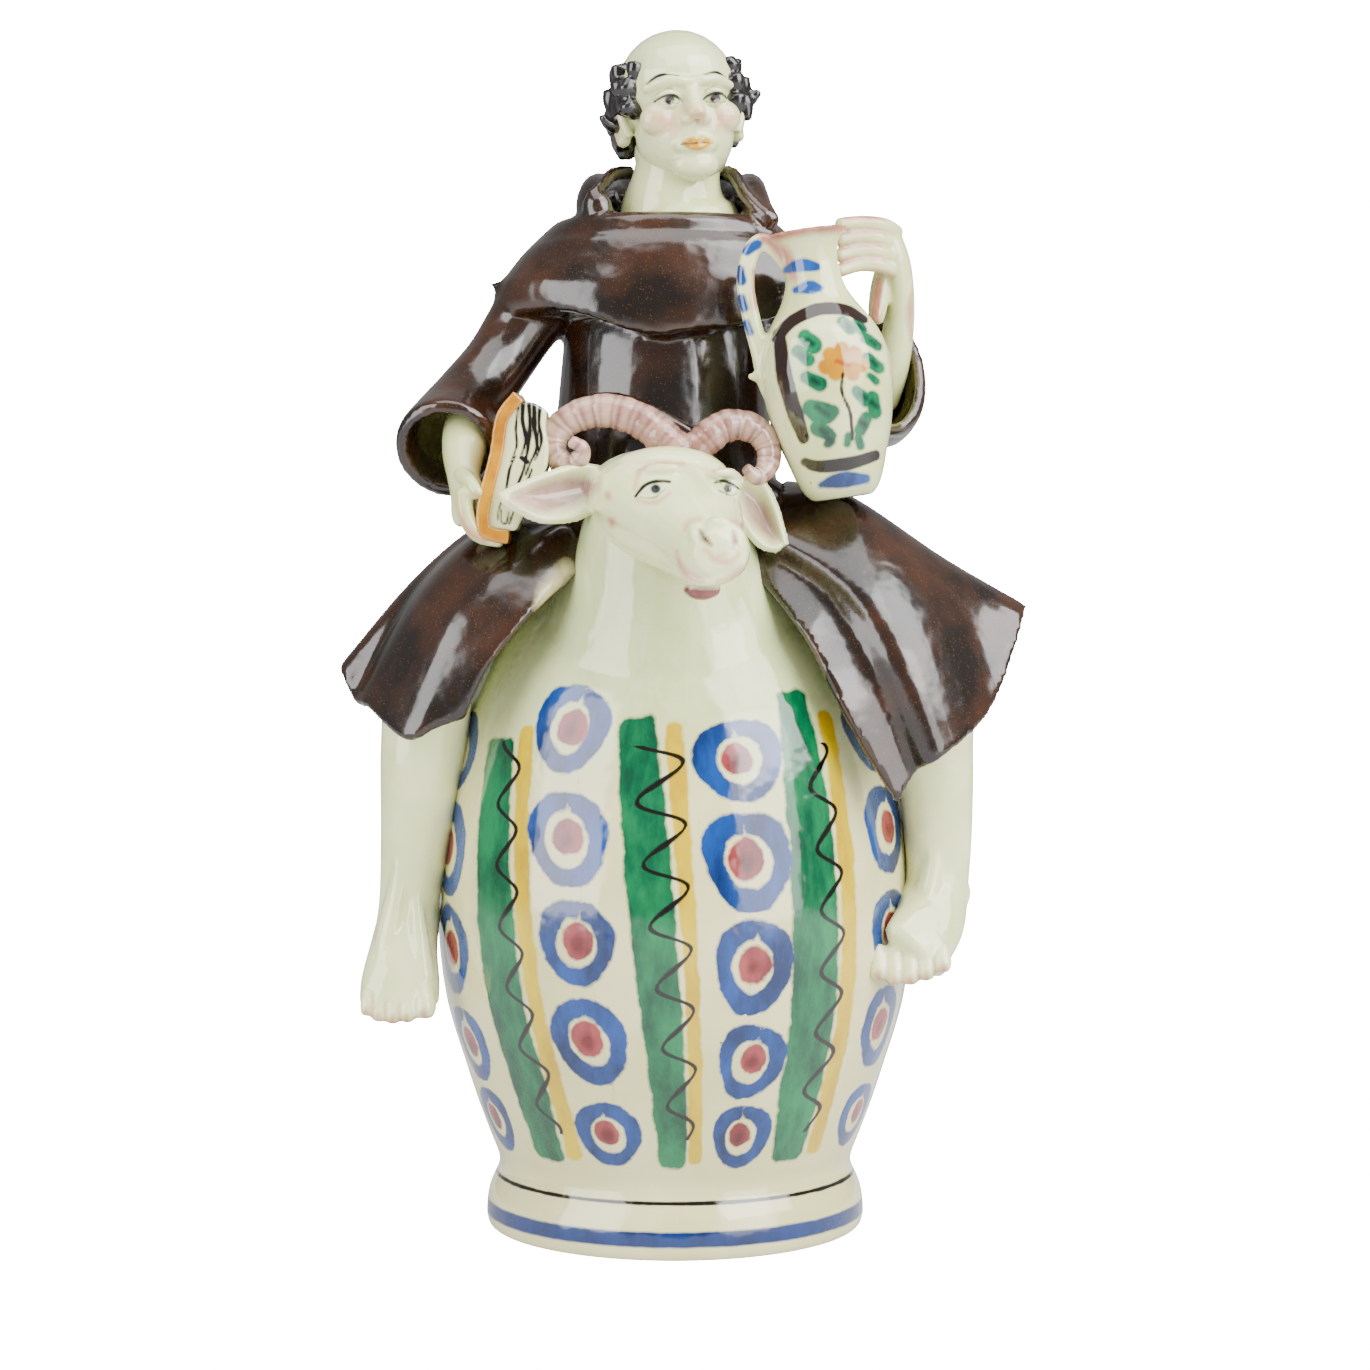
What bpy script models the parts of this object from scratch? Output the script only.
"""Ceramic vase, one fired piece: a thrown jar whose shoulder turns into a ram, ridden by a friar.

The jar stands on z = 0 with its turning axis on Z, and the ram looks along -Y. Sizes are in
millimetres here, and MM turns them to metres where a mesh is made. The rider and the ram are
drawn at their places on a jar of DRAWN_SEAT height, and move and grow with the real one.
"""

import math

import bmesh
import bpy
from mathutils import Euler, Matrix, Vector

MM = 0.001

# The thrown jar
FOOT_RADIUS = 63.0
FOOT_HEIGHT = 13.0
FOOT_EDGE = 1.5
WAIST_RADIUS = 58.5
WAIST_HEIGHT = 23.0
BELLY_RADIUS = 79.0
BELLY_HEIGHT = 112.0
SHOULDER_RADIUS = 67.0
SHOULDER_HEIGHT = 182.0
SEAT_HEIGHT = 231.0
WALL = 6.0
FLOOR = 8.0
JAR_SIDES = 32

# The rider and the ram, from the seat to the crown of the head
FIGURE_HEIGHT = 169.0
DRAWN_SEAT = 231.0
DRAWN_FIGURE = 169.0
DRAWN_BELLY = 79.0
FIGURE = FIGURE_HEIGHT / DRAWN_FIGURE
CLOTH = 4.2

# The mouth of the vase, inside the thrown-back cowl, and the throat below it
MOUTH_RADIUS = 14.0
MOUTH_DEPTH = 11.5
THROAT_RADIUS = 8.5

# The small jug in the rider's hand
JUG_WALL = 2.8
JUG_FLOOR = 5.0

# The book
BOOK_THICKNESS = 15.0
BOOK_HEIGHT = 42.0
BOOK_DEPTH = 25.0
BOOK_LEAN = math.radians(11)


def seated(x, y, z):
    """A point of the rider or the ram, carried by the jar's seat."""
    return Vector((x * FIGURE, y * FIGURE, SEAT_HEIGHT + (z - DRAWN_SEAT) * FIGURE))


def hanging(x, y, z):
    """A point of a leg, which hangs against the jar's belly."""
    point = seated(x, y, z)
    point.x += math.copysign(BELLY_RADIUS - DRAWN_BELLY * FIGURE, x)
    return point


def smooth(stations, steps):
    """More stations between those given, on a curve that passes through each of them."""
    found = []
    last = len(stations) - 1
    for i in range(last):
        a, b, c, d = (stations[max(0, min(last, i + k))] for k in (-1, 0, 1, 2))
        for step in range(steps):
            t = step / steps
            bend = (2 * a - 5 * b + 4 * c - d) * t**2 + (3 * (b - c) + d - a) * t**3
            found.append(0.5 * (2 * b + (c - a) * t + bend))
    found.append(stations[last])
    return found


def new_object(name, mesh_maker, collection):
    mesh = bpy.data.meshes.new(name)
    bm = bmesh.new()
    mesh_maker(bm)
    bmesh.ops.recalc_face_normals(bm, faces=bm.faces)
    bm.transform(Matrix.Scale(MM, 4))
    bm.to_mesh(mesh)
    bm.free()
    made = bpy.data.objects.new(name, mesh)
    collection.objects.link(made)
    if collection is not bpy.context.scene.collection:
        made.hide_render = True
        made.display_type = "WIRE"
    return made


def bridged(bm, frames, sides):
    """A closed tube through one ellipse after another, each given by its matrix."""
    loops = []
    for frame in frames:
        ring = bmesh.ops.create_circle(bm, segments=sides, radius=1.0, matrix=frame)["verts"]
        loops.append(list({edge for vert in ring for edge in vert.link_edges}))
        if frame in (frames[0], frames[-1]):
            bm.faces.new(ring)
    for below, above in zip(loops, loops[1:]):
        bmesh.ops.bridge_loops(bm, edges=below + above)


def turned(name, profile, collection, sides, frame=Matrix.Identity(4)):
    """Thrown on the wheel: circles of (radius, height) about the frame's Z."""
    frames = [frame @ Matrix.Translation((0, 0, z)) @ Matrix.Diagonal((r, r, 1, 1)) for r, z in profile]
    return new_object(name, lambda bm: bridged(bm, frames, sides), collection)


def rolled(name, stations, collection, sides=10, steps=1, up=(0, 0, 1), place=seated, dome=0.6):
    """A coil of clay through stations of (x, y, z, half width, half thickness), with domed ends."""
    points = smooth([Vector((*place(*s[:3]), s[3] * FIGURE, s[4] * FIGURE)) for s in stations], steps)
    middles = [p.xyz for p in points]
    halves = [(p[3], p[4]) for p in points]
    ways = [
        (middles[min(i + 1, len(middles) - 1)] - middles[max(i - 1, 0)]).normalized()
        for i in range(len(middles))
    ]
    for end, sign in ((0, -1), (-1, 1)):
        tip = middles[end] + ways[end] * sign * dome * min(halves[end])
        narrow = (halves[end][0] * 0.55, halves[end][1] * 0.55)
        where = 0 if end == 0 else len(middles)
        middles.insert(where, tip)
        halves.insert(where, narrow)
        ways.insert(where, ways[end].copy())
    frames = []
    for middle, way, (wide, thin) in zip(middles, ways, halves):
        side = way.cross(Vector(up)).normalized()
        other = side.cross(way)
        turn = Matrix((side * wide, other * thin, way)).transposed().to_4x4()
        frames.append(Matrix.Translation(middle) @ turn)
    return new_object(name, lambda bm: bridged(bm, frames, sides), collection)


def pressed(name, middle, halves, collection, turn=(0, 0, 0), rings=8, place=seated):
    """A ball of clay pressed to an ellipsoid of three half sizes."""
    turns = Euler(turn, "XYZ").to_matrix().to_4x4()
    sizes = Matrix.Diagonal((*(h * FIGURE for h in halves), 1))
    frame = Matrix.Translation(place(*middle)) @ turns @ sizes

    def ball(bm):
        bmesh.ops.create_uvsphere(bm, u_segments=rings * 3 // 2, v_segments=rings, radius=1.0, matrix=frame)

    return new_object(name, ball, collection)


def draped(name, edges, collection, steps=2, thickness=CLOTH):
    """A sheet of rolled-out clay through lines of points that run side by side, edge to edge."""
    lines = [smooth([seated(*p) for p in line], steps) for line in edges]
    columns = [smooth([line[i] for line in lines], steps) for i in range(len(lines[0]))]

    def sheet(bm):
        grid = [[bm.verts.new(point) for point in column] for column in columns]
        for one, two in zip(grid, grid[1:]):
            for i in range(len(one) - 1):
                bm.faces.new((one[i], one[i + 1], two[i + 1], two[i]))

    made = new_object(name, sheet, collection)
    slab = made.modifiers.new("thickness", "SOLIDIFY")
    slab.thickness = thickness * MM
    slab.offset = 0
    return made


def jar_profile(inset, low, high):
    """The jar's outline from its waist up, moved in by a wall, between two heights."""
    drawn = [
        Vector((WAIST_RADIUS, WAIST_HEIGHT)),
        Vector((0.42 * WAIST_RADIUS + 0.58 * BELLY_RADIUS, 0.62 * WAIST_HEIGHT + 0.38 * BELLY_HEIGHT)),
        Vector((BELLY_RADIUS, BELLY_HEIGHT)),
        Vector((SHOULDER_RADIUS, SHOULDER_HEIGHT)),
        Vector((0.42 * SHOULDER_RADIUS, 0.13 * SHOULDER_HEIGHT + 0.87 * SEAT_HEIGHT)),
    ]
    curve = smooth(drawn, 2)
    return [(p.x - inset, p.y) for p in curve if p.x - inset > 0 and low < p.y < high]


def jar_outside():
    top = jar_profile(0, 0, SEAT_HEIGHT)
    foot = [
        (FOOT_RADIUS - FOOT_EDGE, 0),
        (FOOT_RADIUS, FOOT_EDGE),
        (FOOT_RADIUS, FOOT_HEIGHT),
        (0.5 * (FOOT_RADIUS + WAIST_RADIUS), 0.5 * (FOOT_HEIGHT + WAIST_HEIGHT)),
    ]
    return foot + top + [(0.2 * SHOULDER_RADIUS, SEAT_HEIGHT)]


def jar_inside():
    curve = jar_profile(WALL, FLOOR, SEAT_HEIGHT - WALL)
    return [(WAIST_RADIUS - WALL - FLOOR, FLOOR), (WAIST_RADIUS - WALL, FLOOR * 1.6)] + curve


def ram(clay):
    """Neck, head turned a little to +X, curled horns, drooping ears and beard."""
    rolled("ram_neck", [(0, -16, 166, 57, 53), (-1, -21, 184, 51, 47), (-2, -27, 200, 43, 40),
                        (-2.5, -33, 214, 35, 32), (-3, -40, 233, 27, 22)], clay, sides=16, up=(0, 1, 0))
    pressed("ram_skull", (-4, -47, 243), (25, 22, 17), clay, turn=(-0.35, 0, 0.3), rings=8)
    rolled("ram_face", [(-3, -50, 244, 21, 14), (3, -66, 241.5, 17, 13), (9, -81, 234, 13, 11),
                        (13, -92, 227.5, 10.5, 9)], clay, steps=2, dome=0.45)
    rolled("ram_jaw", [(-10, -48, 236, 18, 11), (-1, -66, 231, 15.5, 9), (9, -85, 225, 9.5, 7)], clay)
    pressed("ram_beard", (8, -84, 215.5), (5.5, 4, 4.5), clay, rings=5)
    for side, x in (("left", -7), ("right", 18)):
        pressed(f"ram_eye_{side}", (x, -73 if side == "left" else -64, 247), (4.5, 4, 4), clay, rings=5)
    horns = {
        "left": [(-8, -44, 256, 6.5, 6.5), (-13, -44, 262, 6, 6), (-21, -42, 268, 5.6, 5.6),
                 (-31, -40, 270, 5, 5), (-38.5, -40, 266, 4.7, 4.7), (-40, -41, 260, 4.2, 4.2),
                 (-37, -43, 255.5, 3.6, 3.6), (-31, -46, 256, 3, 3)],
        "right": [(6, -44, 256, 6.5, 6.5), (12, -43.5, 261, 6, 6), (20, -40.5, 265, 5.3, 5.3),
                  (28, -38, 262.5, 4.8, 4.8), (31.5, -36, 256, 4.2, 4.2), (29, -38, 249, 3.5, 3.5)],
    }
    for name, stations in horns.items():
        rolled(f"ram_horn_{name}", stations, clay, sides=7, up=(0, 1, 0.2))
    rolled("ram_ear_left", [(-22, -49, 247, 3, 5), (-32, -54, 245, 3.2, 8), (-43, -58, 243, 3, 7),
                            (-53, -60, 243, 1.8, 2.5)], clay, sides=7)
    rolled("ram_ear_right", [(20, -47, 247, 3, 5), (27, -47, 241, 3.2, 8), (31, -46, 235, 3, 6.5),
                             (34, -45, 229, 1.8, 2.5)], clay, sides=7, up=(1, 0, 0.4))


def torso(clay, hollows):
    """The thrown trunk in its habit, the shoulder cape, and the cowl that holds the vase's mouth."""
    rolled("trunk", [(-3, 14, 218, 41, 36), (-4, 14, 245, 39, 34), (-4, 14, 275, 35.5, 31),
                     (-3, 14, 302, 33.5, 29), (-1, 13, 322, 29, 25)], clay, sides=18, up=(0, 1, 0))
    rolled("cape", [(-4, 6, 299, 57, 33), (-4, 7, 310, 56.5, 32.5), (-3, 7, 320, 51, 30.5),
                    (-2, 8, 329, 44, 28.5), (-2, 8, 336, 36, 26.5), (-1, 9, 338.4, 26, 21)], clay, sides=20,
           up=(0, 1, 0), dome=0.1)
    rolled("cowl", [(-1, 24, 300, 30, 23), (0, 29, 322, 31, 22), (0, 32, 342, 29, 20)], clay, sides=14,
           up=(0, 1, 0))
    rolled("cowl_edge", [(-27, -7, 335, 3, 4), (-28, 1, 340, 5, 5.5), (-27, 13, 345, 5.5, 7.5),
                         (-22, 34, 348, 5, 7), (0, 47, 350, 5, 7), (22, 34, 348, 5, 7),
                         (27, 13, 345, 5.5, 7.5), (28, 1, 339.5, 5, 5.5), (27, -7, 334, 3, 4)], clay, sides=7)
    rolled("trunk_hollow", [(-3, 15, 206, 27, 23), (-4, 16, 250, 27, 23), (-4, 18, 285, 25, 21),
                            (-2, 20, 308, 20, 18)], hollows, sides=14, up=(0, 1, 0))
    mouth_middle = seated(0, 34, 0).y
    low, high = seated(0, 0, 296).z, seated(0, 0, 362).z
    throat = [Matrix.Translation((0, mouth_middle, z)) @ Matrix.Diagonal((across, deep, 1, 1))
              for z, across, deep in (
                  (low, THROAT_RADIUS, THROAT_RADIUS),
                  (0.5 * (low + high), THROAT_RADIUS, THROAT_RADIUS),
                  (high, MOUTH_RADIUS, MOUTH_DEPTH))]
    new_object("mouth", lambda bm: bridged(bm, throat, 14), hollows)


def head(clay):
    """A calm, bald head with a fringe of hair, ears, brow, eyes, nose, lips and chin."""
    rolled("neck", [(0.5, 10, 328, 21, 19), (0.5, 9, 341, 16, 15), (1.5, 7, 356, 14, 14)], clay, sides=14,
           up=(0, 1, 0))
    pressed("skull", (2, 7, 378.5), (18.8, 23, 21.5), clay, rings=9)
    pressed("jaw", (3.2, -2, 364), (15.5, 15.5, 16), clay, rings=8)
    rolled("nose", [(4.5, -14.5, 379, 1.8, 2), (5, -17.5, 373, 2.4, 2.4), (5, -19.5, 368.5, 3.4, 2.8)],
           clay, sides=8, up=(0, 1, 0))
    rolled("brow", [(-9, -12, 379, 1.5, 1.5), (-3, -14.5, 381, 2, 1.8), (5, -15, 379.5, 2, 1.8),
                    (12, -14.5, 381, 2, 1.8), (18, -12, 379, 1.5, 1.5)], clay, sides=6)
    rolled("lips", [(-0.5, -15.5, 361.5, 1.2, 1.2), (4.5, -17.5, 362, 1.8, 2), (9.5, -15.5, 361.5, 1.2, 1.2)],
           clay, sides=6)
    pressed("chin", (4.5, -14, 355), (6, 5, 4.5), clay, rings=6)
    for side in (-1, 1):
        pressed(f"eye_{side:+d}", (4.5 + side * 7.5, -13.5, 374.5), (4, 3, 2.4), clay, rings=5)
        pressed(f"ear_{side:+d}", (2 + side * 18.9, 3.4, 369.7), (2.8, 4.5, 7), clay, rings=6)
    rolled("hair", [(-17, -1, 381, 3, 4.5), (-18.5, 9, 373.5, 4.2, 9), (-12, 24, 370, 4.2, 10),
                    (2, 29.5, 369, 4.2, 10), (16, 24, 370, 4.2, 10), (22.5, 9, 374, 4.2, 9),
                    (21, -1, 381, 3, 4.5)], clay, sides=8)
    for tip, low in ((-27.5, 365), (-25.5, 374), (26.5, 377), (25, 367)):
        root = 2 + math.copysign(17, tip)
        rolled(f"lock_{tip:+.0f}", [(root, 9, low + 2, 3.5, 5), (tip, 6, low, 1.5, 2.2)], clay, sides=6)


def skirts(clay):
    """The habit's skirt, parted over the ram's neck and thrown over each knee, with a back panel."""
    draped("skirt_left", [
        [(-30, -41, 224), (-42, -52, 209), (-58, -58, 190), (-66, -57, 173)],
        [(-36, -35, 232), (-52, -44, 220), (-68, -53, 199), (-82, -55, 167)],
        [(-40, -18, 236), (-60, -28, 229), (-78, -38, 210), (-98, -40, 174)],
        [(-42, 4, 236), (-62, -8, 232), (-85, -16, 213), (-108, -24, 185)],
        [(-42, 28, 228), (-62, 26, 215), (-80, 20, 196), (-98, 10, 175)],
    ], clay)
    draped("skirt_right", [
        [(26, -41, 222), (41, -57, 198), (53, -62, 174), (70, -58, 146)],
        [(32, -36, 233), (54, -46, 218), (72, -56, 196), (86, -56, 160)],
        [(36, -18, 240), (62, -28, 233), (86, -42, 210), (102, -42, 178)],
        [(38, 4, 240), (64, -8, 240), (90, -16, 226), (114, -22, 207)],
        [(38, 28, 230), (62, 28, 222), (86, 24, 205), (106, 14, 188)],
    ], clay)
    draped("skirt_back", [
        [(-50, 8, 232), (-58, 16, 216), (-70, 18, 196), (-78, 14, 178)],
        [(-30, 40, 236), (-38, 52, 216), (-46, 60, 192), (-51, 62, 168)],
        [(-2, 50, 238), (-2, 64, 216), (-2, 74, 190), (-2, 79.5, 162)],
        [(26, 40, 236), (36, 52, 216), (45, 60, 192), (50, 62, 168)],
        [(46, 8, 234), (56, 16, 218), (70, 18, 198), (80, 14, 180)],
    ], clay)


def legs(clay):
    """Bare legs that hang from under the skirt, each with an instep and five toes."""
    thighs = {
        "leg_left": [(-30, 4, 224, 16, 15), (-60, -14, 212, 16, 15), (-79, -22, 190, 15, 15),
                     (-82, -22, 164, 14, 14), (-85, -21, 136, 11.5, 12), (-87.5, -20, 112, 10.5, 10.5),
                     (-88, -22, 101, 10.5, 10)],
        "leg_right": [(28, 4, 226, 16, 15), (60, -14, 218, 16, 15), (82, -22, 196, 14, 15),
                      (84, -23, 162, 12.5, 13), (85, -22, 134, 10.8, 11.5), (85.5, -22, 119, 10.8, 10.5),
                      (84, -25, 109, 11, 10)],
    }
    for name, stations in thighs.items():
        rolled(name, stations, clay, sides=10, up=(0, 1, 0), place=hanging)
    feet = {
        "foot_left": ([(-87, -17, 106, 10, 10), (-89, -27, 94, 11.5, 9), (-89, -36, 83, 13, 6)],
                      (-89, -36, 83), (-5.2, 0, 0.9), (0, -4.5, -9)),
        "foot_right": ([(85, -18, 112, 11, 10), (81, -33, 102, 12, 9), (77, -43, 94, 12.5, 6)],
                       (77, -43, 94), (5.2, 0.6, -0.6), (-1.5, -5.5, -5.5)),
    }
    for name, (stations, ball, across, way) in feet.items():
        rolled(name, stations, clay, sides=10, up=(0, 1, 0.2), place=hanging)
        for toe in range(5):
            root = Vector(ball) + Vector(across) * (toe - 2)
            tip = root + Vector(way) * (1 - 0.1 * toe)
            half = 3.4 - 0.22 * toe
            rolled(f"{name}_toe_{toe + 1}", [(*root, half, half), (*tip, half, half * 0.85)], clay, sides=5,
                   up=(1, 0, 0), place=hanging)


def arms(clay, cuffs):
    """Wide sleeves, open at the cuff, with a hand round the book and a hand on the jug's rim."""
    sleeves = {
        "left": ([(-38, 10, 316, 14, 13), (-50, 7, 302, 12, 12), (-58, 2, 289, 11.5, 12),
                  (-67, -4, 277, 12.5, 13), (-72, -13, 268, 15, 15), (-72, -24, 261, 16.5, 16)],
                 [(-71, -15, 265, 12, 12), (-72, -24, 261, 13.5, 13), (-72, -42, 254, 14, 14)], (1, 0, 1)),
        "right": ([(36, 12, 316, 13, 13), (50, 12, 302, 12, 13), (61, 8, 288, 12, 14),
                   (68, 0, 280, 12.5, 19.5), (70, -9, 284, 12.5, 22.5)],
                  [(69, 0, 281, 8, 15), (70, -9, 284, 9.5, 19), (70, -28, 288, 10, 20)], (0, 0, 1)),
    }
    for name, (outside, inside, up) in sleeves.items():
        sleeve = rolled(f"sleeve_{name}", outside, clay, up=up)
        cuff = rolled(f"cuff_{name}", inside, cuffs, sides=10, up=up)
        opened = sleeve.modifiers.new("cuff", "BOOLEAN")
        opened.operation = "DIFFERENCE"
        opened.object = cuff
        opened.solver = "EXACT"
    rolled("forearm_left", [(-70, -8, 270, 9, 9), (-69, -24, 262.5, 9.2, 8.8), (-68, -33, 252.5, 7, 7.4),
                            (-68, -39, 244, 6, 9)], clay, sides=8)
    for finger in range(4):
        y = -48 + 5.2 * finger
        rolled(f"finger_left_{finger + 1}", [(-69, y, 243, 2.9, 2.9), (-69, y, 236, 2.7, 2.7),
                                             (-64, y, 230, 2.5, 2.5), (-57, y, 229, 2.1, 2.1)],
               clay, sides=5, up=(0, 1, 0))
    rolled("thumb_left", [(-68, -38, 255, 3.2, 3.2), (-66, -46, 251, 2.8, 2.8), (-63, -50, 248, 2.4, 2.4)],
           clay, sides=6)
    rolled("forearm_right", [(70, 3, 268, 7.5, 7.5), (72, -6, 288, 6.2, 7), (73, -11, 306, 5, 6),
                             (72, -13, 320, 4.5, 8), (70, -14, 327, 4, 7)], clay, sides=10, up=(0, 1, 0))
    for finger in range(4):
        z = 330.5 - 4.6 * finger
        rolled(f"finger_right_{finger + 1}", [(72, -14, z, 2.6, 2.8), (67, -22, z, 2.6, 2.7),
                                              (59, -27, z, 2.5, 2.6), (53, -30, z - 1, 2.3, 2.4)],
               clay, sides=5)
    rolled("thumb_right", [(69, -14, 322, 2.6, 3), (64, -14, 314, 2.4, 2.6), (60, -20, 306, 2.2, 2.4),
                           (58, -27, 299, 2.2, 2.4)], clay, sides=6)


def jug(clay, hollows):
    """A thrown jug with a strap handle, leaning on the rider's knee."""
    foot, rim = seated(54, -36, 242.5), seated(44, -36, 327.5)
    axis = rim - foot
    frame = Matrix.Translation(foot) @ axis.to_track_quat("Z", "Y").to_matrix().to_4x4()
    height = axis.length
    outline = [(0.115, 0), (0.145, 0.04), (0.19, 0.17), (0.232, 0.32), (0.247, 0.45), (0.237, 0.56),
               (0.2, 0.65), (0.145, 0.725), (0.105, 0.8), (0.097, 0.87), (0.106, 0.93), (0.14, 1.0)]
    outside = [(r * height, share * height) for r, share in outline]
    inside = [(outside[1][0] - JUG_WALL, JUG_FLOOR)]
    inside += [(r - JUG_WALL, z) for r, z in outside if z > JUG_FLOOR]
    lip = (inside[-1][0], inside[-1][1] + JUG_WALL)
    turned("jug", outside, clay, 16, frame)
    turned("jug_hollow", inside + [lip], hollows, 10, frame)
    rolled("jug_handle", [(37, -37, 312, 2.2, 2.8), (33.5, -37, 321, 2.2, 2.8), (28, -37, 325, 2.2, 2.8),
                          (23, -37, 319, 2.2, 2.8), (22.5, -37, 308, 2.2, 3), (25.5, -37, 296, 2.5, 3.4),
                          (30, -37, 284, 4, 5), (35, -37, 272, 4, 5)], clay, sides=8, up=(0, 1, 0))


def book(clay):
    """A thick closed book, its back to the hand, leaning on the rider's forearm."""
    sizes = Matrix.Diagonal((BOOK_THICKNESS, BOOK_DEPTH, BOOK_HEIGHT, 1))
    frame = Matrix.Translation(seated(-55, -39, 252)) @ Matrix.Rotation(BOOK_LEAN, 4, "Y") @ sizes

    def block(bm):
        bmesh.ops.create_cube(bm, size=1.0, matrix=frame)
        bmesh.ops.bevel(bm, geom=bm.edges, offset=1.6, segments=1, affect="EDGES", profile=0.5)

    new_object("book", block, clay)


def glaze():
    """Tin glaze over a painted body."""
    material = bpy.data.materials.new("tin_glaze")
    material.use_nodes = True
    shader = material.node_tree.nodes["Principled BSDF"]
    shader.inputs["Base Color"].default_value = (0.66, 0.69, 0.55, 1)
    shader.inputs["Roughness"].default_value = 0.12
    shader.inputs["Metallic"].default_value = 0.0
    return material


def collection_named(name):
    made = bpy.data.collections.new(name)
    bpy.context.scene.collection.children.link(made)
    return made


def main():
    for old in list(bpy.data.objects):
        bpy.data.objects.remove(old)
    clay, hollows, cuffs = (collection_named(name) for name in ("luted_clay", "hollows", "cuffs"))
    ram(clay)
    torso(clay, hollows)
    head(clay)
    skirts(clay)
    legs(clay)
    arms(clay, cuffs)
    jug(clay, hollows)
    book(clay)
    turned("jar_hollow", jar_inside(), hollows, 18)
    vase = turned("ceramic_vase", jar_outside(), bpy.context.scene.collection, JAR_SIDES)
    for name, operation, group in (("luted", "UNION", clay), ("hollowed", "DIFFERENCE", hollows)):
        cut = vase.modifiers.new(name, "BOOLEAN")
        cut.operation = operation
        cut.operand_type = "COLLECTION"
        cut.collection = group
        cut.solver = "EXACT"
    vase.data.materials.append(glaze())


main()
